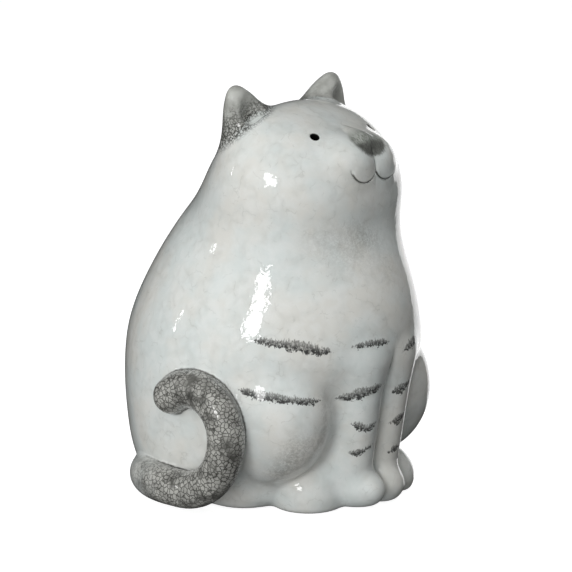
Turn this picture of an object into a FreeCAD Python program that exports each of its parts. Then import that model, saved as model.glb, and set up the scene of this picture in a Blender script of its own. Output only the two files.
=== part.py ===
"""A seated cat figurine of glazed earthenware, slip cast hollow, with its members luted on.

Millimetres. +Z is up, the cat faces -Y, its right flank is on -X, and the plane X = 0 divides it
into mirror halves. The origin is on the resting surface, in that plane.
"""
import FreeCAD
import Part
import Sketcher
import os
from FreeCAD import Vector

os.makedirs("parts", exist_ok=True)
doc = FreeCAD.newDocument("cat_figurine")

# Height, half width, half depth and centre (along Y) of the oval sections of the trunk and head
TRUNK = [
    (0, 52.0, 49.0, 12.5),
    (3, 57.0, 54.5, 12.2),
    (10, 63.5, 60.5, 12.0),
    (25, 71.0, 65.0, 12.0),
    (40, 73.8, 67.5, 12.0),
    (55, 75.0, 70.5, 10.5),
    (70, 74.3, 76.0, 6.5),
    (85, 72.5, 78.5, 3.0),
    (115, 63.0, 71.5, -2.0),
    (130, 56.5, 63.5, -3.0),
    (145, 54.0, 55.5, -6.0),
    (165, 53.5, 47.5, -15.0),
    (180, 49.0, 38.5, -17.5),
    (190, 41.5, 27.5, -16.0),
    (197, 31.0, 17.5, -14.5),
    (201, 20.0, 10.0, -14.0),
    (203.5, 6.0, 3.0, -14.0),
]
CAVITY_SECTIONS = range(2, 15)

# Ovals that swell out of the trunk: centre x, y, z and half sizes in x, y, z.
# Each of those with x above 0 has a mirror image on the other side.
SWELLINGS = {
    "haunch": (39.5, -21, 53, 31, 40, 38.5),
    "muzzle": (8.5, -50, 177.3, 12, 12, 10.6),
    "chin": (0, -49.5, 163.5, 14, 9.5, 9),
}

DIMENSIONS = {
    "wall": 5, "overlap": 1.5,
    "pour_hole_radius": 15, "pour_hole_y": 28,
    "vent_radius": 2.4, "vent_length": 36, "vent_yaw": 42, "vent_tilt": 42,
    "eye_x": 21.1, "eye_y": -40.1, "eye_z": 189.4,
    "ear_x": 27.5, "ear_y": -2.8, "ear_z": 190,
    "ear_half_width": 13.5, "ear_half_thickness": 11.5, "ear_half_length": 26.2,
    "ear_lean": 26.6, "ear_yaw": 5,
    "concha_half_width": 9.2, "concha_half_depth": 7, "concha_half_length": 20,
    "concha_forward": 11, "concha_rise": 2,
    "nose_y": -49, "nose_z": 190.3, "nose_tilt": 120,
    "nose_half_width": 6.5, "nose_half_thickness": 5.5, "nose_half_length": 10.3,
    "leg_x": 11, "ankle_y": -59, "ankle_z": 8, "ankle_radius": 11.5,
    "shoulder_y": -64, "shoulder_z": 78, "shoulder_radius": 14, "shoulder_ball": 14.4,
    "ankle_seam": 90, "shoulder_seam": 33,
    "right_paw_x": 8.5, "right_paw_y": -62, "left_paw_x": 8.8, "left_paw_y": -60, "paw_z": 9.5,
    "paw_half_width": 12.8, "paw_half_length": 14, "paw_half_height": 10.8,
    "right_foot_x": 32, "right_foot_y": -41, "right_foot_yaw": 30,
    "right_foot_half_width": 16, "right_foot_half_length": 24, "right_foot_half_height": 17.5,
    "left_foot_x": 32, "left_foot_y": -39.5, "left_foot_yaw": -12,
    "left_foot_half_width": 13, "left_foot_half_length": 25, "left_foot_half_height": 15.5,
    "foot_z": 8,
    "tail_radius": 9.5, "tail_x": -76, "tail_start_y": 6, "tail_low_z": 13.5,
    "tail_flank_radius": 38, "tail_flank_angle": 90,
    "tail_rise_y": -0.5, "tail_rise_radius": 31, "tail_curl_radius": 22, "tail_curl_angle": 41,
}

# ---------------------------------------------------------------- the sheet of driving dimensions
sheet = doc.addObject("Spreadsheet::Sheet", "Dims")
for index, (height, half_width, half_depth, centre) in enumerate(TRUNK):
    DIMENSIONS[f"trunk_height_{index}"] = height
    DIMENSIONS[f"trunk_half_width_{index}"] = half_width
    DIMENSIONS[f"trunk_half_depth_{index}"] = half_depth
    DIMENSIONS[f"trunk_centre_{index}"] = centre
for name, numbers in SWELLINGS.items():
    for suffix, number in zip(("x", "y", "z", "half_x", "half_y", "half_z"), numbers):
        DIMENSIONS[f"{name}_{suffix}"] = number
for row, (alias, number) in enumerate(DIMENSIONS.items(), start=1):
    sheet.set(f"A{row}", alias)
    sheet.set(f"B{row}", str(number))
    sheet.setAlias(f"B{row}", alias)
doc.recompute()


def plane(body, role):
    """The origin plane of a body with this role."""
    return next(item for item in body.Origin.OriginFeatures if item.Role == role)


def spot(x="0", y="0", z="0", turns="rotation(vector(0; 0; 1); 0)"):
    """The expression for a placement at x, y, z, turned by these rotations."""
    return f"placement(vector({x}; {y}; {z}); {turns})"


def turned(*steps):
    """The expression for rotations about named axes, the last one applied first."""
    axes = {"x": "vector(1; 0; 0)", "y": "vector(0; 1; 0)", "z": "vector(0; 0; 1)"}
    return " * ".join(f"rotation({axes[axis]}; {angle})" for axis, angle in steps)


def attach(feature, body, where, role="XY_Plane"):
    """Put a sketch or a primitive on its body's origin plane, at this placement."""
    feature.AttachmentSupport = [(plane(body, role), "")]
    feature.MapMode = "FlatFace"
    feature.setExpression("AttachmentOffset", where)


def oval_sketch(body, name, half_x, half_y, deep, centre, height):
    """A level oval from expressions for its half sizes. A deep one is longer along Y than along X."""
    sketch = body.newObject("Sketcher::SketchObject", name)
    attach(sketch, body, spot("0", centre, height))
    rough_long, rough_short = 60, 40
    long_end, short_end = Vector(rough_long, 0, 0), Vector(0, rough_short, 0)
    direction, halves = "Horizontal", (half_x, half_y)
    if deep:
        long_end, short_end = Vector(0, rough_long, 0), Vector(rough_short, 0, 0)
        direction, halves = "Vertical", (half_y, half_x)
    oval = sketch.addGeometry(Part.Ellipse(long_end, short_end, Vector(0, 0, 0)))
    sketch.exposeInternalGeometry(oval)
    long_axis, short_axis = oval + 1, oval + 2
    sketch.addConstraint(Sketcher.Constraint("Coincident", oval, 3, -1, 1))
    sketch.addConstraint(Sketcher.Constraint(direction, long_axis))
    for line, rough, half in zip((long_axis, short_axis), (rough_long, rough_short), halves):
        number = sketch.addConstraint(Sketcher.Constraint("Distance", line, 2 * rough))
        sketch.setExpression(f"Constraints[{number}]", f"2 * ({half})")
    return sketch


def circle_sketch(body, name, radius, where, role="XY_Plane"):
    """A circle about the sketch's own origin."""
    sketch = body.newObject("Sketcher::SketchObject", name)
    attach(sketch, body, where, role)
    rough = 10
    circle = sketch.addGeometry(Part.Circle(Vector(0, 0, 0), Vector(0, 0, 1), rough))
    sketch.addConstraint(Sketcher.Constraint("Coincident", circle, 3, -1, 1))
    number = sketch.addConstraint(Sketcher.Constraint("Radius", circle, rough))
    sketch.setExpression(f"Constraints[{number}]", radius)
    return sketch


def loft(body, name, sketches):
    """A smooth loft through level sections, lowest first."""
    feature = body.newObject("PartDesign::AdditiveLoft", name)
    feature.Profile = sketches[0]
    feature.Sections = sketches[1:]
    feature.Ruled = False
    doc.recompute()
    return feature


def ellipsoid(body, name, halves, where, subtract=False):
    """An ellipsoid added to a body or taken from it, from expressions for its half sizes."""
    kind = "Subtractive" if subtract else "Additive"
    feature = body.newObject(f"PartDesign::{kind}Ellipsoid", name)
    attach(feature, body, where)
    for radius, expression in zip(("Radius2", "Radius3", "Radius1"), halves):
        feature.setExpression(radius, expression)
    doc.recompute()
    return feature


def clear_block(body, name, where, size=(200, 200, 200)):
    """Take a large block from a body, with its low corner at this placement."""
    feature = body.newObject("PartDesign::SubtractiveBox", name)
    attach(feature, body, where)
    feature.Length, feature.Width, feature.Height = size
    doc.recompute()
    return feature


def clear_floor(body):
    """Take away what is below the resting surface."""
    return clear_block(body, f"{body.Name}_base", spot("-100", "-100", "-200"))


def new_body(name):
    """An empty PartDesign body."""
    return doc.addObject("PartDesign::Body", name)


def cut(name, base, *tools):
    """The base less each tool in turn. The last cut carries the name of the sub-part."""
    result = base
    for number, tool in enumerate(tools, start=1):
        label = name if number == len(tools) else f"{name}_rough_{number}"
        step = doc.addObject("Part::Cut", label)
        step.Label = label
        step.Base = result
        step.Tool = tool
        doc.recompute()
        result = step
    return result


# ---------------------------------------------------------------- the trunk and its swellings
def swell(body, names, shrink=""):
    """Add the swellings of these names to a body, each smaller by an expression on every side."""
    for name in names:
        halves = [f"Dims.{name}_half_{axis}{shrink}" for axis in "xyz"]
        sides = {"right": "-", "left": ""} if SWELLINGS[name][0] else {"middle": ""}
        for side, sign in sides.items():
            where = spot(f"{sign}Dims.{name}_x", f"Dims.{name}_y", f"Dims.{name}_z")
            ellipsoid(body, f"{body.Name}_{name}_{side}", halves, where)


def trunk(body, sections, shrink=""):
    """Loft these of the trunk's sections, each smaller by an expression on every side."""
    sketches = []
    for index in sections:
        half_x = f"Dims.trunk_half_width_{index}{shrink}"
        half_y = f"Dims.trunk_half_depth_{index}{shrink}"
        height = f"Dims.trunk_height_{index}"
        if shrink and index == sections[0]:
            height = "Dims.wall"
        if shrink and index == sections[-1]:
            height += shrink
        _, half_width, half_depth, _ = TRUNK[index]
        sketches.append(oval_sketch(body, f"{body.Name}_section_{index}", half_x, half_y,
                                    half_depth > half_width, f"Dims.trunk_centre_{index}", height))
    doc.recompute()
    return loft(body, f"{body.Name}_trunk", sketches)


outside = new_body("outside")
trunk(outside, range(len(TRUNK)))
swell(outside, SWELLINGS)

# The cast cavity follows the outside at one wall thickness. The muzzle and chin are solid clay.
cavity = new_body("cavity")
trunk(cavity, CAVITY_SECTIONS, " - Dims.wall")
swell(cavity, ("haunch",), " - Dims.wall")

# Slip is poured in and out through a round hole in the base.
pour_mouth = spot("0", "Dims.pour_hole_y", "-Dims.overlap")
pour_circle = circle_sketch(cavity, "pour_circle", "Dims.pour_hole_radius", pour_mouth)
pour_hole = cavity.newObject("PartDesign::Pad", "pour_hole")
pour_hole.Profile = pour_circle
pour_hole.setExpression("Length", "Dims.wall + 2 * Dims.overlap")
doc.recompute()

# Each eye is a small pierced hole that also vents the cavity in the kiln.
for side, sign in (("right", "-"), ("left", "")):
    vent = cavity.newObject("PartDesign::AdditiveCylinder", f"eye_vent_{side}")
    eye = spot(f"{sign}Dims.eye_x", "Dims.eye_y", "Dims.eye_z",
               turned(("z", f"{sign}Dims.vent_yaw"), ("x", "Dims.vent_tilt")))
    attach(vent, cavity, f"{eye} * {spot(z='-Dims.vent_length / 2')}")
    vent.setExpression("Radius", "Dims.vent_radius")
    vent.setExpression("Height", "Dims.vent_length")
    doc.recompute()

parts = {"body_shell": cut("body_shell", outside, cavity)}


# ---------------------------------------------------------------- ears, one on each side
def ear(side, sign):
    """A rounded ear leaning outwards, with a shallow concha in its front."""
    body = new_body(f"ear_{side}")
    where = spot(f"{sign}Dims.ear_x", "Dims.ear_y", "Dims.ear_z",
                 turned(("y", f"{sign}Dims.ear_lean"), ("z", f"{sign}Dims.ear_yaw")))
    halves = ("Dims.ear_half_width", "Dims.ear_half_thickness", "Dims.ear_half_length")
    ellipsoid(body, f"ear_{side}_form", halves, where)
    halves = ("Dims.concha_half_width", "Dims.concha_half_depth", "Dims.concha_half_length")
    hollow = f"{where} * {spot('0', '-Dims.concha_forward', 'Dims.concha_rise')}"
    ellipsoid(body, f"ear_{side}_concha", halves, hollow, subtract=True)
    return body


# ---------------------------------------------------------------- nose
def nose():
    """An oval nose leather lying along the bridge."""
    body = new_body("nose_clay")
    halves = ("Dims.nose_half_width", "Dims.nose_half_thickness", "Dims.nose_half_length")
    where = spot("0", "Dims.nose_y", "Dims.nose_z", turned(("x", "Dims.nose_tilt")))
    ellipsoid(body, "nose_form", halves, where)
    return body


# ---------------------------------------------------------------- forelegs and hind feet
def foreleg(side, sign):
    """A straight foreleg with its paw, cut flat where it meets the other one.

    The seams of its round faces are turned apart, so that no two of them lie on one line.
    """
    body = new_body(f"foreleg_{side}")
    rings = []
    for name in ("ankle", "shoulder"):
        where = spot(f"{sign}Dims.leg_x", f"Dims.{name}_y", f"Dims.{name}_z",
                     turned(("z", "Dims.ankle_seam")))
        rings.append(circle_sketch(body, f"foreleg_{side}_{name}", f"Dims.{name}_radius", where))
    doc.recompute()
    loft(body, f"foreleg_{side}_shank", rings)
    shoulder = spot(f"{sign}Dims.leg_x", "Dims.shoulder_y", "Dims.shoulder_z",
                    turned(("z", "Dims.shoulder_seam")))
    ellipsoid(body, f"foreleg_{side}_ball", ("Dims.shoulder_ball",) * 3, shoulder)
    halves = ("Dims.paw_half_width", "Dims.paw_half_length", "Dims.paw_half_height")
    where = spot(f"{sign}Dims.{side}_paw_x", f"Dims.{side}_paw_y", "Dims.paw_z")
    ellipsoid(body, f"foreleg_{side}_paw", halves, where)
    beyond = "-200" if sign == "" else "0"
    clear_block(body, f"foreleg_{side}_seam", spot(beyond, "-150", "-20"))
    clear_floor(body)
    return body


def hind_foot(side, sign):
    """The rounded toe end of a hind foot, below the haunch."""
    body = new_body(f"foot_{side}")
    halves = [f"Dims.{side}_foot_half_{way}" for way in ("width", "length", "height")]
    where = spot(f"{sign}Dims.{side}_foot_x", f"Dims.{side}_foot_y", "Dims.foot_z",
                 turned(("z", f"Dims.{side}_foot_yaw")))
    ellipsoid(body, f"foot_{side}_form", halves, where)
    clear_floor(body)
    return body


# ---------------------------------------------------------------- tail
def bend(body, name, radius, sweep, where):
    """A stretch of tail bent round a circle, swept from its own +X axis."""
    feature = body.newObject("PartDesign::AdditiveTorus", name)
    attach(feature, body, where)
    feature.setExpression("Radius1", radius)
    feature.setExpression("Radius2", "Dims.tail_radius")
    feature.setExpression("Angle3", sweep)
    doc.recompute()


def tail():
    """A round tail that leaves the right hip, lies forward along the flank and curls up and back."""
    body = new_body("tail_clay")
    flank = spot("Dims.tail_x + Dims.tail_flank_radius", "Dims.tail_start_y", "Dims.tail_low_z",
                 turned(("z", "180 - Dims.tail_flank_angle")))
    bend(body, "tail_flank", "Dims.tail_flank_radius", "Dims.tail_flank_angle", flank)

    straight = body.newObject("PartDesign::AdditiveCylinder", "tail_straight")
    hip = spot("Dims.tail_x", "Dims.tail_start_y", "Dims.tail_low_z", turned(("x", "90")))
    attach(straight, body, hip)
    straight.setExpression("Radius", "Dims.tail_radius")
    straight.setExpression("Height", "Dims.tail_start_y - Dims.tail_rise_y")

    curl_z = "Dims.tail_low_z + Dims.tail_rise_radius"
    rise = spot("Dims.tail_x", "Dims.tail_rise_y", curl_z, turned(("y", "90"), ("z", "-90")))
    bend(body, "tail_rise", "Dims.tail_rise_radius", "90", rise)

    curl_y = "Dims.tail_rise_y - Dims.tail_rise_radius + Dims.tail_curl_radius"
    curl = spot("Dims.tail_x", curl_y, curl_z,
                turned(("y", "90"), ("z", "-180 - Dims.tail_curl_angle")))
    bend(body, "tail_curl", "Dims.tail_curl_radius", "90 + Dims.tail_curl_angle", curl)
    tip = f"{curl} * {spot('Dims.tail_curl_radius')}"
    ellipsoid(body, "tail_tip", ("Dims.tail_radius",) * 3, tip)
    return body


# ---------------------------------------------------------------- members, each seated on the shell
parts["nose"] = cut("nose", nose(), outside)
parts["tail"] = cut("tail", tail(), outside)
for side, sign in (("right", "-"), ("left", "")):
    parts[f"{side}_ear"] = cut(f"{side}_ear", ear(side, sign), outside)
    leg = foreleg(side, sign)
    parts[f"{side}_foreleg"] = cut(f"{side}_foreleg", leg, outside)
    parts[f"{side}_hind_foot"] = cut(f"{side}_hind_foot", hind_foot(side, sign), outside, leg)

# ---------------------------------------------------------------- checks and files
for item in doc.Objects:
    if "Invalid" in item.State or "Error" in item.State:
        raise RuntimeError(f"{item.Name} failed to recompute: {item.State}")
for name, item in parts.items():
    shape = item.Shape
    if shape.isNull() or not shape.isValid():
        raise RuntimeError(f"{name} has no valid shape")
    if len(shape.Solids) != 1:
        raise RuntimeError(f"{name} is {len(shape.Solids)} solids, not one")
    bounds = shape.optimalBoundingBox()
    print(f"{name:16s} {shape.Volume / 1000:8.2f} cm3   "
          f"x {bounds.XMin:7.2f} {bounds.XMax:7.2f}   y {bounds.YMin:7.2f} {bounds.YMax:7.2f}   "
          f"z {bounds.ZMin:7.2f} {bounds.ZMax:7.2f}")
    shape.exportStep(os.path.join("parts", f"{name}.step"))
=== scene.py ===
"""The looks of a glazed ceramic cat figurine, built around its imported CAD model.

The cat is one smooth field in millimetres, negative inside the clay and zero on its surface. The
field is meshed on a shared grid, and each part of the surface belongs to the piece whose own form
is nearest, so that neighbouring pieces meet face to face and the glaze runs on without a step.
"""
import math

import bpy
import numpy as np
from mathutils import Matrix, Vector


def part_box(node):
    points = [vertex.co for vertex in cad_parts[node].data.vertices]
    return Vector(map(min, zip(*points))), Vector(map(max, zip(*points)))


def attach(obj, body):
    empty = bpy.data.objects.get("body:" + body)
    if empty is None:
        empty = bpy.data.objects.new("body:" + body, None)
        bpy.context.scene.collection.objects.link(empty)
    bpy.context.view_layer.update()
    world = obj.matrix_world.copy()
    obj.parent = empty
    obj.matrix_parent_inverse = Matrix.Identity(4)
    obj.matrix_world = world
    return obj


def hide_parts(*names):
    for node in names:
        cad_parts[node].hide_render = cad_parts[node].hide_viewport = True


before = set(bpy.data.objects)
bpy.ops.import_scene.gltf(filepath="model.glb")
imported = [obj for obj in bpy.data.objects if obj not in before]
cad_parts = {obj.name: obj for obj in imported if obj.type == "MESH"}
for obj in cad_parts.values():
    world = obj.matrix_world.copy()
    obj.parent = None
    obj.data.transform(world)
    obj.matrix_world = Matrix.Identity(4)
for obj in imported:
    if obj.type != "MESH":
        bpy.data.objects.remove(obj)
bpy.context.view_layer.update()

MM = 0.001
X_AXIS, Y_AXIS, Z_AXIS = np.eye(3)
TINY = 1e-9


# ------------------------------------------------------------------ field tools
def smooth_min(a, b, k):
    """The lesser of two fields, blended over a band k wide."""
    h = np.maximum(k - np.abs(a - b), 0) / k
    return np.minimum(a, b) - h * h * k * 0.25


def smooth_max(a, b, k):
    return -smooth_min(-a, -b, k)


def smooth_step(value, start, end):
    t = np.clip((value - start) / (end - start), 0, 1)
    return t * t * (3 - 2 * t)


def mirrored(p, round_off=0.0):
    """The points brought to the +X side, without a kink at X = 0 where round_off is above 0."""
    m = p.copy()
    m[:, 0] = np.hypot(m[:, 0], round_off)
    return m


def turn(axis, degrees):
    return np.array(Matrix.Rotation(math.radians(degrees), 3, axis))


def unit(*direction):
    return np.array(direction) / np.linalg.norm(direction)


def oval(p, centre, halves, turned=None):
    """About the distance to an ellipsoid. The columns of turned are its own axes."""
    q = p - np.asarray(centre, float)
    if turned is not None:
        q = q @ turned
    halves = np.asarray(halves, float)
    k0 = np.sqrt(((q / halves) ** 2).sum(1))
    k1 = np.sqrt(((q / halves ** 2) ** 2).sum(1))
    return k0 * (k0 - 1) / np.maximum(k1, TINY)


def rod(p, a, b, radius_a, radius_b):
    """The distance to a rounded rod that tapers from a to b."""
    a, b = np.asarray(a, float), np.asarray(b, float)
    d = b - a
    t = np.clip((p - a) @ d / (d @ d), 0, 1)
    return np.linalg.norm(p - a - t[:, None] * d, axis=1) - (radius_a + (radius_b - radius_a) * t)


class Curve:
    """A natural cubic spline through points."""

    def __init__(self, at, value):
        at, value = np.asarray(at, float), np.asarray(value, float)
        n, h = len(at), np.diff(at)
        matrix, right = np.zeros((n, n)), np.zeros(n)
        matrix[0, 0] = matrix[-1, -1] = 1
        for i in range(1, n - 1):
            matrix[i, i - 1:i + 2] = h[i - 1], 2 * (h[i - 1] + h[i]), h[i]
            right[i] = 6 * ((value[i + 1] - value[i]) / h[i] - (value[i] - value[i - 1]) / h[i - 1])
        self.bend = np.linalg.solve(matrix, right)
        self.at, self.value, self.h = at, value, h

    def __call__(self, t):
        t = np.clip(t, self.at[0], self.at[-1])
        i = np.clip(np.searchsorted(self.at, t, side="right") - 1, 0, len(self.h) - 1)
        h = self.h[i]
        a, b = (self.at[i + 1] - t) / h, (t - self.at[i]) / h
        bent = (a ** 3 - a) * self.bend[i] + (b ** 3 - b) * self.bend[i + 1]
        return a * self.value[i] + b * self.value[i + 1] + bent * h * h / 6


# ------------------------------------------------------------------ sizes, in millimetres
# Height, half width, half depth and centre along Y of the trunk
TRUNK = np.array([
    (-6, 46, 43, 12.5), (0, 55, 52, 12.5), (3, 60, 57.5, 12.2), (10, 65.5, 62.5, 12),
    (25, 71.5, 65.5, 12), (40, 73.8, 67.5, 12), (55, 75, 70.5, 10.5), (70, 75.2, 77, 5.5),
    (85, 73.3, 78.5, 3), (115, 63, 69, 0.5), (145, 49, 53.5, -4), (175, 37, 40, -16),
    (200, 24, 28, -18)], float)
TRUNK_TOP = 183
TRUNK_CURVES = [Curve(TRUNK[:, 0], TRUNK[:, column]) for column in (1, 2, 3)]
LEAST_STEEPNESS = 1 / 90

# Ovals: a centre and half sizes. Those of a pair are given on the +X side.
CHEEK = (10, -21.5, 159), (37.8, 36.6, 29.6)
SHOULDER = (10, -18, 118), (38, 39, 42)
CROWN = (0, -15.5, 173.8), (45.5, 26, 30)
CHEST = (0, -36.5, 103), (34, 35, 34)
HAUNCH = (39.5, -21, 52), (31, 42, 39.8)
HIP = (37.5, -8.6, 14), (20, 20, 22)
PAD = (8.5, -51.8, 177.3), (11.8, 12, 10.4)
CHIN = (0, -50.5, 163.5), (14, 9.5, 9)
RIGHT_PAW = (-7, -61.5, 10.6), (11, 13.5, 9.8)
LEFT_PAW = (8.8, -60, 9.8), (12.5, 14, 10.6)
RIGHT_FOOT = (-21.2, -38.2, 8), (20, 20, 18.5), turn("Z", 40)
LEFT_FOOT = (33, -40.5, 8.5), (13, 25, 15.5), turn("Z", -12)
# Rods: both ends and their radii
LEG = (11.5, -63.5, 78), (10, -55.5, 11.5), 13.6, 11
LAP = (19, -48.5, 72), (18, -46, 14), 11, 10
# The widths over which the forms run into each other
BLEND = {
    "trunk top": 20, "crown": 16, "head": 26, "shoulder": 16, "chest": 18, "hip": 8, "haunch": 4,
    "dish": 2.5, "lap": 9, "paw": 5, "ear": 8, "pad": 10, "chin": 6, "nose": 3, "leg": 7, "foot": 3,
    "tail": 1.5, "base": 3, "cavity": 4, "pour": 2, "eye": 1, "opening": 0.6}
MIDDLE_ROUND_OFF = 7

EAR_CENTRE = np.array([27.5, -4.2, 190])
EAR_HALVES = np.array([14.6, 11.8, 26.4])
EAR_TAPER, EAR_NARROWEST, EAR_WIDEST = 0.012, 0.74, 1.1
LEFT_EAR_WIDER = 1.1
DISH_SHARE = [0.68, 0.62, 0.78]
ear_w = unit(0.5, 0.02, 1)
ear_v = Y_AXIS - ear_w * ear_w[1]
ear_v /= np.linalg.norm(ear_v)
EAR_TURN = np.stack([np.cross(ear_v, ear_w), ear_v, ear_w], 1) @ turn("Z", 5)

NOSE_CENTRE, NOSE_HALVES, NOSE_TURN = np.array([0, -51.0, 187.6]), (5.6, 4.8, 10.5), turn("X", 114)
NOSE_TAPER, NOSE_NARROWEST, NOSE_WIDEST = 0.045, 0.5, 1.2
EYE = np.array([20.4, -40.8, 188.4])
EYE_AXIS = unit(0.5, -0.6, 0.62)
EYE_R, EYE_INWARD, EYE_OUTWARD = 2.4, 16, 8
MOUTH_CENTRE, MOUTH_R = np.array([8.3, 177.0]), 9.2
MOUTH_LINE_HALF, MOUTH_LINE_DEPTH, MOUTH_LIP_DEPTH = 0.55, 0.75, 0.5
CLEFT_HALF, CLEFT_DEPTH = 0.6, 0.75
CLEFT_FOOT, CLEFT_HEAD = (172.5, 174), (184, 186)
GROOVE_TOP, GROOVE_FADE, GROOVE_DEPTH, GROOVE_HALF = 84, 14, 2.2, 1.8
GROOVE_BACK_Y, GROOVE_BACK_FADE = -50, 8

WALL = 5
POUR_Y, POUR_R, POUR_TOP = 28, 15, 20

tail_low = np.array(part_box("tail")[0]) / MM
TAIL_R = 9.5
TAIL_X = tail_low[0] + TAIL_R
TAIL_Z = tail_low[2] + TAIL_R
TAIL_FLANK_R, TAIL_RISE_R, TAIL_CURL_R, TAIL_CURL_TURN = 38, 31, 22, 41
TAIL_RISE_Y = tail_low[1] + TAIL_R + TAIL_RISE_R
TAIL_START_Y = TAIL_RISE_Y + 6.5


# ------------------------------------------------------------------ the forms
def trunk(p):
    """About the distance to a stack of level ovals."""
    x, y, z = p.T
    z = np.minimum(z, TRUNK_TOP + 5)

    def reach(height):
        a, b, c = (curve(height) for curve in TRUNK_CURVES)
        return a, b, c, np.sqrt((x / a) ** 2 + ((y - c) / b) ** 2) + TINY

    a, b, c, q = reach(z)
    step = 0.5
    rise = (reach(z + step)[3] - q) / step
    steepness = np.sqrt((x / (a * a * q)) ** 2 + ((y - c) / (b * b * q)) ** 2 + rise ** 2)
    distance = (q - 1) / np.maximum(steepness, LEAST_STEEPNESS)
    return smooth_max(distance, p[:, 2] - TRUNK_TOP, BLEND["trunk top"])


def torso(p):
    """The trunk with the cheeks, crown, shoulders, chest and haunches."""
    m = mirrored(p, MIDDLE_ROUND_OFF)
    head = smooth_min(oval(m, *CHEEK), oval(p, *CROWN), BLEND["crown"])
    field = smooth_min(trunk(p), head, BLEND["head"])
    field = smooth_min(field, oval(m, *SHOULDER), BLEND["shoulder"])
    field = smooth_min(field, oval(p, *CHEST), BLEND["chest"])
    m = mirrored(p)
    thigh = smooth_min(oval(m, *HAUNCH), oval(m, *HIP), BLEND["hip"])
    return smooth_min(field, thigh, BLEND["haunch"])


def muzzle(p, field):
    """Adds the two pads and the chin, with the mouth between them."""
    m = mirrored(p)
    field = smooth_min(field, oval(m, *PAD), BLEND["pad"])
    field = smooth_min(field, oval(p, *CHIN), BLEND["chin"])
    rho = np.hypot(m[:, 0] - MOUTH_CENTRE[0], m[:, 2] - MOUTH_CENTRE[1])
    front = smooth_step(-p[:, 1], 48, 54)
    lower = smooth_step(MOUTH_CENTRE[1] - 3.2 - m[:, 2], -2, 1.5)
    lip = np.exp(-np.maximum(MOUTH_R - rho, 0) / 2.5) * smooth_step(MOUTH_R - rho, -0.35, 0.35)
    line = np.exp(-((rho - MOUTH_R) / MOUTH_LINE_HALF) ** 2)
    field = field + front * lower * (MOUTH_LINE_DEPTH * line - MOUTH_LIP_DEPTH * lip)
    cleft = smooth_step(p[:, 2], *CLEFT_FOOT) * (1 - smooth_step(p[:, 2], *CLEFT_HEAD))
    return field + front * cleft * CLEFT_DEPTH * np.exp(-(p[:, 0] / CLEFT_HALF) ** 2)


def ear(p):
    """A tapered oval with a dish in front."""
    q = (mirrored(p) - EAR_CENTRE) @ EAR_TURN
    q[:, :2] /= np.clip(1 - EAR_TAPER * q[:, 2:], EAR_NARROWEST, EAR_WIDEST)
    q[p[:, 0] > 0, :2] /= LEFT_EAR_WIDER
    dish = oval(q, (1, -0.9 * EAR_HALVES[1], 2), EAR_HALVES * DISH_SHARE)
    return smooth_max(oval(q, (0, 0, 0), EAR_HALVES), -dish, BLEND["dish"])


def nose(p):
    """A wedge along the bridge, widest at its lower end."""
    q = (p - NOSE_CENTRE) @ NOSE_TURN
    q[:, :2] /= np.clip(1 + NOSE_TAPER * q[:, 2:], NOSE_NARROWEST, NOSE_WIDEST)
    return oval(q, (0, 0, 0), NOSE_HALVES)


def foreleg(p):
    m = mirrored(p)
    leg = smooth_min(rod(m, *LEG), rod(m, *LAP), BLEND["lap"])
    paw = np.where(p[:, 0] < 0, oval(p, *RIGHT_PAW), oval(p, *LEFT_PAW))
    return smooth_min(leg, paw, BLEND["paw"])


def hind_foot(p):
    return np.minimum(oval(p, *RIGHT_FOOT), oval(p, *LEFT_FOOT))


def arc(p, centre, ax, ay, radius, start, end):
    """Distance to an arc of a circle, and how far along it the nearest point lies."""
    q = p - np.asarray(centre, float)
    u, v, w = q @ ax, q @ ay, q @ np.cross(ax, ay)
    middle, half = (start + end) / 2, abs(end - start) / 2
    a = u * math.cos(middle) + v * math.sin(middle)
    b = -u * math.sin(middle) + v * math.cos(middle)
    angle = np.clip(np.arctan2(b, a), -half, half)
    near = np.sqrt((a - radius * np.cos(angle)) ** 2 + (b - radius * np.sin(angle)) ** 2 + w * w)
    along = (angle + half) if end > start else (half - angle)
    return near, along * radius


def tail_line(p):
    """The distance to the tail's centre line, and how far along it the nearest point lies."""
    quarter = math.pi / 2
    curl_turn = quarter + math.radians(TAIL_CURL_TURN)
    curl_z = TAIL_Z + TAIL_RISE_R
    curl_y = TAIL_RISE_Y - TAIL_RISE_R + TAIL_CURL_R
    flank = arc(p, (TAIL_X + TAIL_FLANK_R, TAIL_START_Y, TAIL_Z), X_AXIS, Y_AXIS, TAIL_FLANK_R,
                quarter, 2 * quarter)
    a = np.array([TAIL_X, TAIL_START_Y, TAIL_Z])
    length = TAIL_START_Y - TAIL_RISE_Y
    t = np.clip(a[1] - p[:, 1], 0, length)
    straight = (np.linalg.norm(p - a + t[:, None] * Y_AXIS, axis=1), t)
    rise = arc(p, (TAIL_X, TAIL_RISE_Y, curl_z), Y_AXIS, Z_AXIS, TAIL_RISE_R, 3 * quarter, 2 * quarter)
    curl = arc(p, (TAIL_X, curl_y, curl_z), Y_AXIS, Z_AXIS, TAIL_CURL_R, 2 * quarter,
               2 * quarter - curl_turn)
    runs = (TAIL_FLANK_R * quarter, length, TAIL_RISE_R * quarter, TAIL_CURL_R * curl_turn)
    distance, along, passed = np.full(len(p), 1e9), np.zeros(len(p)), 0
    for (near, t), run in zip((flank, straight, rise, curl), runs):
        closer = near < distance
        distance = np.where(closer, near, distance)
        along = np.where(closer, passed + t, along)
        passed += run
    return distance, along


def tail(p):
    return tail_line(p)[0] - TAIL_R


FORMS = {"body": torso, "ear": ear, "nose": nose, "leg": foreleg, "foot": hind_foot, "tail": tail}


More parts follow.
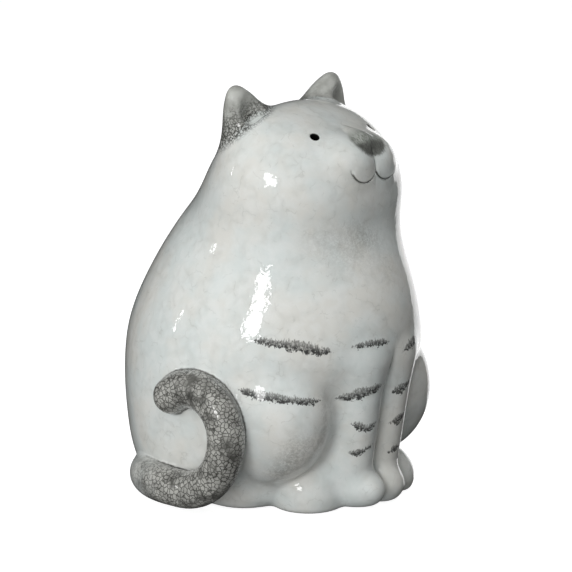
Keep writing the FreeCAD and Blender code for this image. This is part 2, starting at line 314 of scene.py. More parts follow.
def hollow(p, body):
    """The cast cavity with the pour hole and the two pierced eyes."""
    cavity = smooth_max(body + WALL, WALL - p[:, 2], BLEND["cavity"])
    pour = np.maximum(np.hypot(p[:, 0], p[:, 1] - POUR_Y) - POUR_R, p[:, 2] - POUR_TOP)
    eye = rod(mirrored(p), EYE - EYE_INWARD * EYE_AXIS, EYE + EYE_OUTWARD * EYE_AXIS, EYE_R, EYE_R)
    return smooth_min(smooth_min(cavity, pour, BLEND["pour"]), eye, BLEND["eye"])


def clay(p):
    """The whole figurine: negative inside the clay."""
    body = torso(p)
    field = smooth_min(body, ear(p), BLEND["ear"])
    field = muzzle(p, field)
    field = smooth_min(field, nose(p), BLEND["nose"])
    field = smooth_min(field, foreleg(p), BLEND["leg"])
    groove = smooth_step(GROOVE_TOP - p[:, 2], 0, GROOVE_FADE)
    groove = groove * np.clip((GROOVE_BACK_Y - p[:, 1]) / GROOVE_BACK_FADE, 0, 1)
    field = field + GROOVE_DEPTH * groove * np.exp(-(p[:, 0] / GROOVE_HALF) ** 2)
    field = smooth_min(field, hind_foot(p), BLEND["foot"])
    field = smooth_min(field, tail(p), BLEND["tail"])
    field = smooth_max(field, -p[:, 2], BLEND["base"])
    return smooth_max(field, -hollow(p, body), BLEND["opening"])


# ------------------------------------------------------------------ the grid and its labels
PIECES = ("body_shell", "right_ear", "left_ear", "nose", "right_foreleg", "left_foreleg",
          "right_hind_foot", "left_hind_foot", "tail")
KIND = {"body_shell": "body", "right_ear": "ear", "left_ear": "ear", "nose": "nose",
        "right_foreleg": "leg", "left_foreleg": "leg", "right_hind_foot": "foot",
        "left_hind_foot": "foot", "tail": "tail"}
FORM_NAMES = list(FORMS)


def grid_line(*runs):
    """Grid positions from runs of (start, end, step)."""
    parts = [np.linspace(a, b, max(1, round((b - a) / step)), endpoint=False) for a, b, step in runs]
    return np.append(np.concatenate(parts), runs[-1][1])


XS = grid_line((-91, -47, 2), (-47, -26, 1.2), (-26, 26, 0.65), (26, 47, 1.2), (47, 81, 2))
YS = grid_line((-83, -34, 0.8), (-34, 10, 1.2), (10, 89, 2))
ZS = grid_line((-3, 156, 1.8), (156, 200, 0.65), (200, 218, 1.1))
COARSE = 4
NEAR_SURFACE = 6.5
LONGEST_MOVE, DAMPING, EVENING = 1.0, 0.01, 0.6


def in_blocks(function, p, size=150000):
    """A field's value at many points, a block of them at a time."""
    return np.concatenate([function(p[i:i + size]) for i in range(0, len(p), size)])


def stretch(line):
    """The matrix that carries values from every COARSE-th grid position to all of them."""
    picked = np.unique(np.append(np.arange(0, len(line), COARSE), len(line) - 1))
    matrix = np.zeros((len(line), len(picked)))
    for column in range(len(picked)):
        one = np.zeros(len(picked))
        one[column] = 1
        matrix[:, column] = np.interp(line, line[picked], one)
    return picked, matrix


def points(index):
    return np.stack([XS[index[:, 0]], YS[index[:, 1]], ZS[index[:, 2]]], 1)


def sample_clay():
    """The field on the whole grid, exact within a few millimetres of the surface."""
    picked, matrices = zip(*(stretch(line) for line in (XS, YS, ZS)))
    mesh = np.stack(np.meshgrid(*picked, indexing="ij"), -1).reshape(-1, 3)
    rough = in_blocks(clay, points(mesh)).reshape([len(p) for p in picked])
    field = np.einsum("ai,bj,ck,ijk->abc", *matrices, rough, optimize=True)
    near = np.argwhere(np.abs(field) < NEAR_SURFACE)
    field[tuple(near.T)] = in_blocks(clay, points(near))
    return field


def label(field):
    """0 outside, or 1 + the number of the piece whose form is nearest."""
    labels = np.zeros(field.shape, np.int8)
    inside = np.argwhere(field < 0)
    p = points(inside)
    nearest = np.argmin(np.stack([in_blocks(FORMS[name], p) for name in FORM_NAMES]), 0)
    number = np.zeros(len(p), int)
    for index, piece in enumerate(PIECES):
        mine = nearest == FORM_NAMES.index(KIND[piece])
        if piece.startswith("right"):
            mine &= p[:, 0] < 0
        if piece.startswith("left"):
            mine &= p[:, 0] >= 0
        number[mine] = index + 1
    labels[tuple(inside.T)] = number
    return labels


def nets(labels):
    """One vertex for each cell that holds more than one label, and a quad across each grid edge
    whose ends differ. Gives the start points, the label sets, the quads, and the labels below and
    above each quad."""
    shape = np.array(labels.shape)
    quads, below, above, middle = [], [], [], []
    for axis in range(3):
        cut_low = [slice(None)] * 3
        cut_high = [slice(None)] * 3
        cut_low[axis], cut_high[axis] = slice(0, -1), slice(1, None)
        a, b = labels[tuple(cut_low)], labels[tuple(cut_high)]
        index = np.argwhere(a != b)
        u, v = (axis + 1) % 3, (axis + 2) % 3
        index = index[(index[:, u] > 0) & (index[:, v] > 0)
                      & (index[:, u] < shape[u] - 1) & (index[:, v] < shape[v] - 1)]
        cells = []
        for du, dv in ((-1, -1), (0, -1), (0, 0), (-1, 0)):
            cell = index.copy()
            cell[:, u] += du
            cell[:, v] += dv
            cells.append(np.ravel_multi_index(cell.T, shape - 1))
        quads.append(np.stack(cells, 1))
        below.append(a[tuple(index.T)])
        above.append(b[tuple(index.T)])
        step = index.copy()
        step[:, axis] += 1
        middle.append((points(index) + points(step)) / 2)
    quads, below, above = np.concatenate(quads), np.concatenate(below), np.concatenate(above)
    middle = np.concatenate(middle)
    used, flat = np.unique(quads, return_inverse=True)
    quads = flat.reshape(quads.shape)
    count = np.bincount(quads.ravel(), minlength=len(used))
    start = np.stack([np.bincount(quads.ravel(), np.repeat(middle[:, k], 4), len(used))
                      for k in range(3)], 1) / count[:, None]
    cell = np.stack(np.unravel_index(used, shape - 1), 1)
    present = np.zeros(len(used), int)
    for corner in np.ndindex(2, 2, 2):
        present |= 1 << labels[tuple((cell + corner).T)].astype(int)
    return start, present, quads, below, above


def side_of(a, b):
    """A field that is zero where two pieces meet."""
    kind_a, kind_b = KIND[PIECES[a - 1]], KIND[PIECES[b - 1]]
    if kind_a == kind_b:
        return lambda p: p[:, 0]
    return lambda p: FORMS[kind_a](p) - FORMS[kind_b](p)


def slope(function, p, step=0.15):
    """A field's value and gradient, from four points about each one."""
    sides = np.array([(1, -1, -1), (-1, -1, 1), (-1, 1, -1), (1, 1, 1)], float)
    values = [in_blocks(function, p + step * side) for side in sides]
    gradient = sum(side * value[:, None] for side, value in zip(sides, values)) / (4 * step)
    return sum(values) / 4, gradient


def settle(p, present, rounds, only=None):
    """Moves each vertex onto the surface, and onto the seam where its cell holds two pieces."""
    moved = p.copy()
    for key in np.unique(present):
        mine = present == key
        if only is not None:
            mine &= only
        if not mine.any():
            continue
        held = [number for number in range(len(PIECES) + 1) if key >> number & 1]
        solid = [number for number in held if number]
        functions = [clay] if 0 in held else []
        functions += [side_of(solid[0], other) for other in solid[1:3]]
        q = moved[mine]
        for _ in range(rounds):
            found = [slope(function, q) for function in functions]
            value = np.stack([item[0] for item in found], 1)
            jacobian = np.stack([item[1] for item in found], 1)
            square = jacobian @ jacobian.transpose(0, 2, 1) + DAMPING * np.eye(len(functions))
            move = -(jacobian.transpose(0, 2, 1) @ np.linalg.solve(square, value[..., None]))[..., 0]
            far = np.linalg.norm(move, axis=1, keepdims=True)
            q = q + move * np.minimum(1, LONGEST_MOVE / np.maximum(far, TINY))
        moved[mine] = q
    return moved


def relax(p, present, quads, shown, rounds):
    """Evens the spacing of the surface's vertices and puts them back on the surface."""
    edges = np.concatenate([quads[shown][:, [k, (k + 1) % 4]] for k in range(4)])
    edges = np.concatenate([edges, edges[:, ::-1]])
    plain_cells = np.isin(present, [1 | 1 << number for number in range(1, len(PIECES) + 1)])
    for _ in range(rounds):
        total = np.stack([np.bincount(edges[:, 0], p[edges[:, 1], k], len(p)) for k in range(3)], 1)
        count = np.bincount(edges[:, 0], minlength=len(p))
        mean = total / np.maximum(count, 1)[:, None]
        moving = plain_cells & (count > 0)
        p = np.where(moving[:, None], p + EVENING * (mean - p), p)
        p = settle(p, present, 1, moving)
    return p


def shape_pieces():
    """The vertices, quads and normals of every piece."""
    verts, present, quads, below, above = nets(label(sample_clay()))
    verts = settle(verts, present, 3)
    shown = (below == 0) | (above == 0)
    verts = relax(verts, present, quads, shown, 3)
    verts = settle(verts, present, 1)
    normals = slope(clay, verts, 0.08)[1]
    normals /= np.maximum(np.linalg.norm(normals, axis=1, keepdims=True), TINY)
    shapes = {}
    for number, name in enumerate(PIECES, start=1):
        own = np.concatenate([quads[below == number], quads[above == number][:, ::-1]])
        used, flat = np.unique(own, return_inverse=True)
        shapes[name] = (verts[used], flat.reshape(own.shape), normals[used])
    return shapes


# ------------------------------------------------------------------ paint, as fields on the surface
# Each stripe: its centre line from point to point, and its half height at the thickest
STRIPES = (
    (((-61, -35, 93.4), (-56, -43, 92.4), (-50, -51, 90.8), (-43, -58, 89), (-34, -65, 87)), 2.6),
    (((-27.5, -69, 88.3), (-22, -72, 89), (-14.5, -76, 89.6), (-4, -77, 88.6)), 2.0),
    (((6, -75.5, 82), (12.7, -77, 84.8), (22, -74.5, 87.5)), 2.4),
    (((-68, -31.5, 68.5), (-64.5, -40.5, 67), (-59, -49, 65.4), (-50, -57, 63.6), (-39, -62, 62.6)), 2.6),
    (((-32, -65, 60.5), (-26, -69, 62.2), (-20, -74, 64.5), (-8, -77, 67)), 2.8),
    (((2.8, -71.4, 59.5), (8.1, -74.1, 61.5), (17.2, -73, 65)), 3.2),
    (((-25, -69, 48.5), (-21, -71.5, 46.5), (-16, -74, 44.5), (-7.5, -75.5, 47.5)), 2.2),
    (((3.5, -69.5, 43.1), (8.5, -71.6, 44.8), (16, -70.5, 47.5)), 2.9),
    (((-26, -67, 33), (-21, -70, 32), (-16, -73, 33), (-8.5, -74.4, 36)), 2.0),
    (((5, -68, 27.4), (9, -69.2, 28.6), (15, -68.2, 30.2)), 2.5),
    (((43, -60, 69.5), (50, -56, 68)), 2.0),
)
# Soft grey smudges: centre, reach and strength. They are partly grey marks in the glaze and partly
# painted shade under the chin and down the neck.
SMUDGES_AND_SHADE = (
    ((-4, -63, 139), (8, 8, 5), 0.5), ((-12, -62, 143), (8, 8, 6), 0.35),
    ((24, -59, 166), (3, 6, 5), 0.6), ((27, -58, 160), (4, 6, 6), 0.5),
    ((-16, -60, 134), (14, 12, 12), 0.45), ((4, -68, 120), (12, 8, 14), 0.25),
    ((-30, -50, 140), (10, 10, 9), 0.3),
    ((-51, -54, 38), (7, 9, 9), 0.9), ((-52, -46, 26), (6, 9, 8), 0.9),
    ((-36, -63, 55), (5, 6, 10), 0.5), ((-40, -59, 40), (7, 7, 10), 0.55),
)
FAR = 20
LEFT_EAR_CLEANER = 9


def stripe_fields(p):
    """Height above the nearest stripe's centre line, room to its ends, its half height, and the
    distance to it."""
    up, room, half = np.full(len(p), float(FAR)), np.full(len(p), -float(FAR)), np.full(len(p), 2.0)
    best = np.full(len(p), 1e9)
    for line, thickness in STRIPES:
        line = np.array(line, float)
        lengths = np.linalg.norm(np.diff(line, axis=0), axis=1)
        passed, total = 0, lengths.sum()
        for a, b, length in zip(line[:-1], line[1:], lengths):
            d = (b - a) / length
            low = -FAR if passed == 0 else 0
            high = length + FAR if passed + length > total - 1e-6 else length
            t = np.clip((p - a) @ d, low, high)
            off = p - a - t[:, None] * d
            away = np.linalg.norm(off, axis=1)
            at = passed + t
            space = np.minimum(at, total - at)
            score = away + np.maximum(-space, 0)
            closer = score < best
            best = np.where(closer, score, best)
            up = np.where(closer, np.clip(off[:, 2], -FAR, FAR), up)
            room = np.where(closer, np.clip(space, -FAR, FAR), room)
            half = np.where(closer, thickness, half)
            passed += length
    return up, room, half, best


def paint(p):
    """The named fields that the materials read."""
    up, room, half, away = stripe_fields(p)
    # grey patches: partly the glaze's grey marks, partly painted shade under the chin and down the neck
    smudge_and_shade = np.zeros(len(p))
    for centre, reach, strength in SMUDGES_AND_SHADE:
        smudge_and_shade += strength * np.exp(-(((p - centre) / reach) ** 2).sum(1))
    distance, along = tail_line(p)
    body = torso(p)
    ear_up = ((mirrored(p) - EAR_CENTRE) @ EAR_TURN)[:, 2]
    return {
        "stripe_up": up, "stripe_room": room, "stripe_half": half,
        "stripe_away": np.clip(away, 0, FAR), "smudge_and_shade": smudge_and_shade, "depth": np.clip(-body, -FAR, FAR),
        "tail_side": np.clip(body - (distance - TAIL_R), -FAR, FAR), "tail_along": along,
        "ear_side": np.clip(body - ear(p), -FAR, FAR),
        "ear_up": ear_up + np.where(p[:, 0] > 0, LEFT_EAR_CLEANER, 0),
        "nose_side": np.clip(body - nose(p), -FAR, FAR),
        "nose_along": ((p - NOSE_CENTRE) @ NOSE_TURN)[:, 2],
    }


# ------------------------------------------------------------------ meshes
def add_piece(name, verts, quads, normals):
    mesh = bpy.data.meshes.new(name)
    mesh.vertices.add(len(verts))
    mesh.vertices.foreach_set("co", (verts * MM).astype(np.float32).ravel())
    mesh.loops.add(quads.size)
    mesh.loops.foreach_set("vertex_index", quads.astype(np.int32).ravel())
    mesh.polygons.add(len(quads))
    mesh.polygons.foreach_set("loop_start", np.arange(0, quads.size, 4, dtype=np.int32))
    mesh.update(calc_edges=True)
    mesh.validate()
    for field, values in paint(verts).items():
        mesh.attributes.new(field, "FLOAT", "POINT").data.foreach_set("value", values.astype(np.float32))
    mesh.shade_smooth()
    mesh.normals_split_custom_set_from_vertices(normals.astype(np.float32))
    piece = bpy.data.objects.new(name + "_glazed", mesh)
    bpy.context.scene.collection.objects.link(piece)
    return piece


# ------------------------------------------------------------------ materials
class Shader:
    """Adds nodes to a material, taking sockets or plain values as inputs."""

    def __init__(self, name):
        self.material = bpy.data.materials.new(name)
        self.material.use_nodes = True
        self.tree = self.material.node_tree
        self.tree.nodes.clear()
        coordinates = self.node("ShaderNodeTexCoord").outputs["Object"]
        self.place = self.vector("SCALE", coordinates, Scale=1 / MM)

    def node(self, kind, inputs=None, **settings):
        node = self.tree.nodes.new(kind)
        for key, value in settings.items():
            setattr(node, key, value)
        for key, value in (inputs or {}).items():
            self.feed(node.inputs[key], value)
        return node

    def feed(self, socket, value):
        if isinstance(value, bpy.types.NodeSocket):
            self.tree.links.new(value, socket)
        elif isinstance(value, tuple) and len(value) == 3 and socket.type == "RGBA":
            socket.default_value = (*value, 1)
        else:
            socket.default_value = value

    def math(self, operation, *values):
        node = self.node("ShaderNodeMath", operation=operation)
        for socket, value in zip(node.inputs, values):
            self.feed(socket, value)
        return node.outputs[0]

    def times(self, a, b):
        return self.math("MULTIPLY", a, b)

    def jitter(self, value, noise, amount):
        """The value, moved up or down by up to half the amount as the noise says."""
        return self.math("MULTIPLY_ADD", self.math("SUBTRACT", noise, 0.5), amount, value)

    def vector(self, operation, *values, **named):
        node = self.node("ShaderNodeVectorMath", operation=operation)
        for socket, value in zip(node.inputs, values):
            self.feed(socket, value)
        for key, value in named.items():
            self.feed(node.inputs[key], value)
        return node.outputs["Value" if operation == "LENGTH" else "Vector"]

    def step(self, value, start, end):
        """A smooth rise from 0 to 1 as the value goes from start to end."""
        inputs = {"Value": value, "From Min": start, "From Max": end}
        return self.node("ShaderNodeMapRange", inputs, interpolation_type="SMOOTHSTEP").outputs[0]

    def mix(self, factor, a, b):
        node = self.node("ShaderNodeMix", data_type="RGBA")
        for socket, value in zip((node.inputs[0], node.inputs[6], node.inputs[7]), (factor, a, b)):
            self.feed(socket, value)
        return node.outputs[2]

    def field(self, name):
        return self.node("ShaderNodeAttribute", attribute_name=name).outputs["Fac"]

    def noise(self, scale, detail=2.0, roughness=0.5, distortion=0.0, place=None):
        inputs = {"Vector": place or self.place, "Scale": scale, "Detail": detail,
                  "Roughness": roughness, "Distortion": distortion}
        return self.node("ShaderNodeTexNoise", inputs).outputs[0]

    def cell_edges(self, scale, place):
        """The distance to the nearest edge of irregular cells."""
        inputs = {"Vector": place, "Scale": scale}
        return self.node("ShaderNodeTexVoronoi", inputs, feature="DISTANCE_TO_EDGE").outputs["Distance"]

    def warped(self, scale, amount):
        """The place, shifted about by noise."""
        noise = self.node("ShaderNodeTexNoise", {"Vector": self.place, "Scale": scale, "Detail": 2.0})
        centred = self.vector("SUBTRACT", noise.outputs["Color"], (0.5, 0.5, 0.5))
        return self.vector("ADD", self.place, self.vector("SCALE", centred, Scale=amount))

    def stretched(self, x, y, z):
        return self.vector("MULTIPLY", self.place, (x, y, z))


COOL_WHITE, WARM_WHITE, CLOUD_WHITE = (0.645, 0.69, 0.675), (0.69, 0.69, 0.65), (0.76, 0.78, 0.765)
CRAZE_GREY, CRAZE_DARK = (0.44, 0.45, 0.42), (0.30, 0.31, 0.28)
SMUDGE_AND_SHADE_GREY = (0.20, 0.20, 0.18)
STRIPE_GREY, STRIPE_BLACK = (0.13, 0.13, 0.12), (0.03, 0.03, 0.03)
TAIL_DARK = (0.05, 0.05, 0.045)
TAIL_GROUNDS = TAIL_DARK, (0.12, 0.12, 0.11)
TAIL_BUBBLES = (0.30, 0.30, 0.28), (0.46, 0.46, 0.43)
EAR_GREYS, EAR_DARK = ((0.36, 0.365, 0.34), (0.50, 0.51, 0.48)), (0.045, 0.045, 0.04)
NOSE_GREYS, NOSE_DARK = ((0.16, 0.17, 0.15), (0.38, 0.40, 0.37)), (0.06, 0.06, 0.055)
MOUTH_DARK = (0.04, 0.04, 0.035)
# Painted shade: the near-black colour of every surface deeper than the torso's skin (the hollow and the
# pierced eyes), and the depths over which it comes in
PAINTED_INSIDE_SHADE, INSIDE_SHADE_FROM_DEPTH = (0.012, 0.011, 0.010), (0.3, 0.8)
WAVE_HEIGHT, RIPPLE_HEIGHT, BUBBLE_HEIGHT = 0.30, 0.025, 0.07


def white_ground(s):
    """Cool and warm patches, cell-like clouds and faint craze lines."""
    broad = s.step(s.noise(0.035, 3, 0.55), 0.35, 0.65)
    colour = s.mix(broad, COOL_WHITE, WARM_WHITE)
    cloud = s.step(s.noise(0.12, 3, 0.6, 0.6), 0.38, 0.66)
    colour = s.mix(s.times(cloud, 0.4), colour, CLOUD_WHITE)
    edge = s.cell_edges(0.13, s.warped(0.25, 5.0))
    soft_edge = s.times(s.step(edge, 0.34, 0.0), s.step(s.noise(0.09, 2), 0.42, 0.62))
    colour = s.mix(s.times(soft_edge, 0.20), colour, CRAZE_GREY)
    craze = s.times(s.step(edge, 0.04, 0.0), s.step(s.noise(0.2, 2), 0.5, 0.62))
    return s.mix(s.times(craze, 0.22), colour, CRAZE_DARK)


def smudged_and_shaded(s, colour):
    fine = s.noise(0.6, 4, 0.65, 1.0)
    # painted shade under the chin and down the neck, mixed with the glaze's own grey marks
    smudge_and_shade = s.times(s.field("smudge_and_shade"), s.step(fine, 0.35, 0.62))
    return s.mix(s.times(smudge_and_shade, 0.55), colour, SMUDGE_AND_SHADE_GREY)


def striped(s, colour, blot):
    """Brushed stripes: a bristly grey upper edge, and dark blotches along the lower one."""
    up, room = s.field("stripe_up"), s.field("stripe_room")
    bristle = s.noise(1.0, 2, 0.6, 0.0, s.stretched(1.3, 1.3, 0.28))
    uneven = s.math("MULTIPLY_ADD", s.noise(0.11, 2, 0.6), 1.9, -0.05)
    half = s.times(s.times(s.field("stripe_half"), uneven), s.step(room, -1.0, 7.0))
    top = s.step(s.math("SUBTRACT", s.jitter(half, bristle, 5.0), up), 0.0, 0.8)
    bottom = s.step(s.math("ADD", s.jitter(half, blot, 6.0), up), 0.0, 0.6)
    inside = s.times(s.times(top, bottom), s.step(room, -1.5, 0.5))
    inside = s.times(inside, s.step(s.field("stripe_away"), 5.5, 4.5))
    wisp = s.step(s.noise(1.2, 3, 0.7, 0.0, s.stretched(1.2, 1.2, 0.5)), 0.30, 0.60)
    wisp = s.math("MULTIPLY_ADD", wisp, 0.74, 0.10)
    colour = s.mix(s.times(inside, wisp), colour, STRIPE_GREY)
    dark = s.times(s.step(blot, 0.41, 0.53), s.step(up, 2.2, -0.8))
    return s.mix(s.times(s.times(dark, inside), 0.9), colour, STRIPE_BLACK)


def grey_tail(s, colour):
    """Pale bubbles outlined in dark, a root that fades, and painted shade as a dark line in the crease
    beside the body. Gives the colour and the bubbles."""
    side = s.jitter(s.field("tail_side"), s.noise(0.5, 2), 1.2)
    root = s.step(s.jitter(s.field("tail_along"), s.noise(0.25, 4, 0.7), 44), 22, 60)
    on_tail = s.times(s.step(side, -0.4, 0.6), root)
    bubble = s.cell_edges(0.44, s.warped(0.8, 1.0))
    pale = s.times(s.step(bubble, 0.02, 0.15), s.step(s.noise(0.09, 3, 0.6), 0.30, 0.55))
    tone = s.step(s.noise(0.12, 3), 0.35, 0.65)
    grey = s.mix(pale, s.mix(tone, *TAIL_GROUNDS), s.mix(tone, *TAIL_BUBBLES))
    colour = s.mix(on_tail, colour, grey)
    # painted shade: a dark line along the crease where the tail meets the body
    crease_shade = s.times(s.step(s.math("ABSOLUTE", side), 1.1, 0.0), root)
    return s.mix(s.times(crease_shade, 0.8), colour, TAIL_DARK), s.times(pale, on_tail)


def mottled_ears(s, colour, blot):
    """Smooth grey above, and dark mottling with pale cells at the root."""
    side = s.field("ear_side")
    on_ear = s.step(s.jitter(side, blot, 2.5), -0.8, 0.8)
    colour = s.mix(on_ear, colour, s.mix(s.step(s.noise(0.18, 3), 0.35, 0.65), *EAR_GREYS))
    height = s.jitter(s.field("ear_up"), s.noise(0.35, 4, 0.75, 0.5), 26)
    mottled = s.times(s.step(height, 22, 8), s.step(side, -6.5, -1.0))
    specks = s.step(s.cell_edges(0.62, s.warped(0.8, 1.5)), 0.26, 0.04)
    specks = s.times(specks, s.step(blot, 0.32, 0.50))
    return s.mix(s.times(mottled, s.math("MULTIPLY_ADD", specks, 0.80, 0.20)), colour, EAR_DARK)


def brushed_nose(s, colour):
    """Grey brush strokes along the bridge, darkest at the lower end."""
    along = s.field("nose_along")
    stroke = s.noise(0.9, 3, 0.65, 0.4, s.stretched(1.5, 0.45, 0.8))
    on_nose = s.step(s.jitter(s.field("nose_side"), stroke, 3.0), -1.2, 0.8)
    fade = s.step(s.jitter(along, stroke, 14.0), -10.0, 4.0)
    brushed = s.mix(s.step(stroke, 0.35, 0.62), *NOSE_GREYS)
    brushed = s.mix(s.times(s.step(along, 6.5, 9.5), 0.7), brushed, NOSE_DARK)
    return s.mix(s.times(on_nose, fade), colour, brushed)


def mouth_lines(s, colour):
    """Fine dark lines where the pads meet the chin and each other."""
    split = s.node("ShaderNodeSeparateXYZ", {"Vector": s.place}).outputs
    across, height = s.math("ABSOLUTE", split["X"]), split["Z"]
    flat = s.node("ShaderNodeCombineXYZ", {"X": across, "Y": height}).outputs[0]
    centre_x, centre_z = (float(value) for value in MOUTH_CENTRE)
    from_centre = s.vector("SUBTRACT", flat, (centre_x, centre_z, 0.0))
    ring = s.math("ABSOLUTE", s.math("SUBTRACT", s.vector("LENGTH", from_centre), MOUTH_R))
    line = s.times(s.step(ring, 0.55, 0.1), s.step(height, centre_z - 3.4, centre_z - 5))
    philtrum = s.times(s.step(across, 0.5, 0.1), s.step(height, 172.5, 173.5))
    philtrum = s.times(philtrum, s.step(height, 185.5, 184.0))
    mouth = s.times(s.math("MAXIMUM", line, philtrum), s.step(split["Y"], -48.0, -54.0))
    return s.mix(s.times(mouth, 0.85), colour, MOUTH_DARK)


def glaze(name, roughness, coat):
    """White crackled glaze with its stripes, grey smudges with painted shade under the chin and neck,
    grey tail with painted shade in its crease, mottled ears and brushed nose, and painted near-black
    shade inside the hollow and the pierced eyes.
    """
    s = Shader(name)
    blot = s.noise(0.75, 3, 0.7)
    colour = smudged_and_shaded(s, white_ground(s))
    colour = striped(s, colour, blot)
    colour, bubbles = grey_tail(s, colour)
    colour = mottled_ears(s, colour, blot)
    colour = mouth_lines(s, brushed_nose(s, colour))
    # painted shade: surfaces deeper than the torso, inside the hollow and the eye holes, are coloured
    # near black
    colour = s.mix(s.step(s.field("depth"), *INSIDE_SHADE_FROM_DEPTH), colour, PAINTED_INSIDE_SHADE)

    ripples = s.math("MULTIPLY_ADD", s.noise(0.4, 2), RIPPLE_HEIGHT, s.times(bubbles, BUBBLE_HEIGHT))
    height = s.math("MULTIPLY_ADD", s.noise(0.10, 3, 0.5), WAVE_HEIGHT, ripples)
    bump = s.node("ShaderNodeBump", {"Strength": 1.0, "Distance": MM, "Height": height}).outputs[0]
    surface = s.node("ShaderNodeBsdfPrincipled", {
        "Base Color": colour, "Roughness": roughness, "Specular IOR Level": 0.25, "Coat Weight": coat,
        "Coat Roughness": 0.03, "Coat IOR": 1.5, "Normal": bump, "Coat Normal": bump}).outputs[0]
    s.node("ShaderNodeOutputMaterial", {"Surface": surface})
    return s.material


# Each finish: its roughness and the weight of its clear coat
FINISHES = {"white_glaze": (0.45, 1.0), "mottled_glaze": (0.42, 0.9), "grey_glaze": (0.35, 0.9),
            "nose_glaze": (0.45, 0.6)}
SLOT_OF = {"body": "white_glaze", "leg": "white_glaze", "foot": "white_glaze",
           "ear": "mottled_glaze", "nose": "nose_glaze", "tail": "grey_glaze"}


def glaze_pieces():
    materials = {name: glaze(name, *finish) for name, finish in FINISHES.items()}
    for node, (verts, quads, normals) in shape_pieces().items():
        piece = add_piece(node, verts, quads, normals)
        slot = SLOT_OF[KIND[node]]
        piece.data.materials.append(materials[slot])
        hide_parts(node)
        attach(piece, "root")


# ------------------------------------------------------------------ floor, light and camera, in metres
# Radius and height of the rings of the floor, which curves up into a backdrop
SWEEP_RINGS = ((0.6, 0.0), (2.2, 0.0), (2.8, 0.18), (3.2, 0.6), (3.4, 1.4), (3.4, 3.2))
SWEEP_SIDES = 96
FLOOR_GREY, FLOOR_GLOW = (0.5, 0.5, 0.5), 0.9
WORLD_STRENGTH = 0.15
# Name, place, aim, width and height, watts, and whether the glaze mirrors it. The broad, side, low,
# top and fill lights shade the form, the window and left_back make highlights, and the backdrop
# lights the rim.
LIGHTS = (
    ("broad", (-1.5, -0.75, 1.1), (0, 0, 0.1), (1.2, 1.2), 5.2, False),
    ("side", (-1.5, 0.82, 0.4), (0, 0, 0.08), (1.2, 1.0), 7.0, False),
    ("low", (-1.1, -0.4, 0.12), (0, 0, 0.04), (1.0, 0.22), 5.6, False),
    ("top", (-0.2, -0.4, 1.6), (0, 0, 0.1), (1.0, 1.0), 9.5, False),
    ("fill", (1.6, 0.1, 0.7), (0, 0, 0.1), (1.4, 1.2), 5.5, False),
    ("window", (-1.48, -0.35, 0.62), (0, 0, 0.12), (0.34, 0.32), 3.6, True),
    ("left_back", (-0.98, 1.09, 0.42), (0, 0, 0.1), (0.024, 0.18), 0.3, True),
    ("backdrop", (1.88, 0.68, -0.02), (0, 0, 0.1), (1.46, 1.2), 7.5, True),
)
AZIMUTH, ELEVATION, DISTANCE = math.radians(-49.2), math.radians(11.7), 1.3
# The width seen at the base's distance, and how far the camera aims to the right of and above the base
VIEW_WIDTH, AIM_RIGHT, AIM_UP = 0.3017872, 0.0036932, 0.10351512
SENSOR = 36


def plain(name, colour, glow):
    s = Shader(name)
    tint = s.mix(s.noise(0.02, 2), colour, tuple(c * 0.985 for c in colour))
    surface = s.node("ShaderNodeBsdfPrincipled", {
        "Base Color": tint, "Roughness": 0.9, "Emission Color": (1, 1, 1), "Emission Strength": glow})
    s.node("ShaderNodeOutputMaterial", {"Surface": surface.outputs[0]})
    return s.material


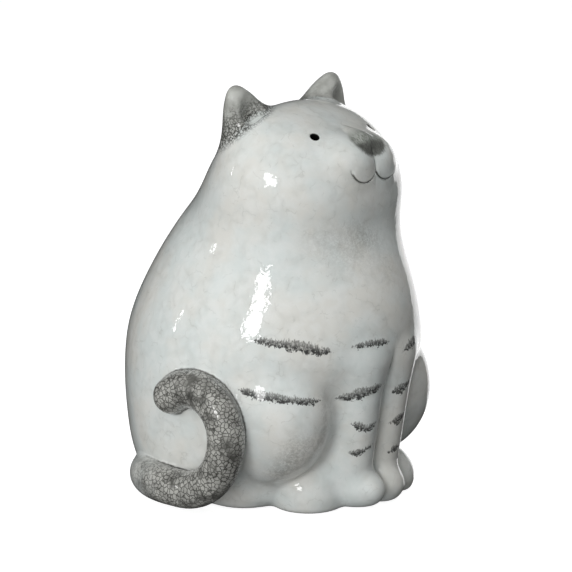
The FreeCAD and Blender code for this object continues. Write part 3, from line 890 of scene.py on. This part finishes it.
def sweep():
    """A floor that curves up into a backdrop all round."""
    verts, faces = [(0.0, 0.0, 0.0)], []
    for radius, height in SWEEP_RINGS:
        for k in range(SWEEP_SIDES):
            angle = 2 * math.pi * k / SWEEP_SIDES
            verts.append((radius * math.cos(angle), radius * math.sin(angle), height))
    for k in range(SWEEP_SIDES):
        faces.append((0, 1 + k, 1 + (k + 1) % SWEEP_SIDES))
    for ring in range(len(SWEEP_RINGS) - 1):
        a, b = 1 + ring * SWEEP_SIDES, 1 + (ring + 1) * SWEEP_SIDES
        for k in range(SWEEP_SIDES):
            n = (k + 1) % SWEEP_SIDES
            faces.append((a + k, b + k, b + n, a + n))
    mesh = bpy.data.meshes.new("floor")
    mesh.from_pydata(verts, [], faces)
    mesh.shade_smooth()
    mesh.materials.append(plain("pale_floor", FLOOR_GREY, FLOOR_GLOW))
    floor = bpy.data.objects.new("floor", mesh)
    floor.visible_diffuse = False
    floor.visible_glossy = False
    bpy.context.scene.collection.objects.link(floor)


def softbox(name, at, aim, size, power, gloss):
    light = bpy.data.lights.new(name, "AREA")
    light.shape = "RECTANGLE"
    light.size, light.size_y = size
    light.energy = power
    lamp = bpy.data.objects.new(name, light)
    lamp.location = at
    lamp.visible_camera = False
    lamp.visible_glossy = gloss
    lamp.rotation_euler = (Vector(aim) - Vector(at)).to_track_quat("-Z", "Y").to_euler()
    bpy.context.scene.collection.objects.link(lamp)


def studio():
    world = bpy.data.worlds.new("studio")
    world.use_nodes = True
    background = world.node_tree.nodes["Background"]
    background.inputs["Color"].default_value = (1, 1, 1, 1)
    background.inputs["Strength"].default_value = WORLD_STRENGTH
    world.cycles_visibility.glossy = False
    bpy.context.scene.world = world
    for light in LIGHTS:
        softbox(*light)


def add_camera():
    back = Vector((math.sin(AZIMUTH) * math.cos(ELEVATION), -math.cos(AZIMUTH) * math.cos(ELEVATION),
                   math.sin(ELEVATION)))
    right = Vector((math.cos(AZIMUTH), math.sin(AZIMUTH), 0))
    up = back.cross(right)
    lens = bpy.data.cameras.new("camera")
    lens.sensor_width = SENSOR
    lens.lens = SENSOR * DISTANCE / VIEW_WIDTH
    camera = bpy.data.objects.new("camera", lens)
    place = right * AIM_RIGHT + up * AIM_UP + back * DISTANCE
    axes = Matrix((right, up, back)).transposed().to_4x4()
    camera.matrix_world = Matrix.Translation(place) @ axes
    bpy.context.scene.collection.objects.link(camera)
    bpy.context.scene.camera = camera
    bpy.context.scene.view_settings.view_transform = "Standard"


glaze_pieces()
sweep()
studio()
add_camera()
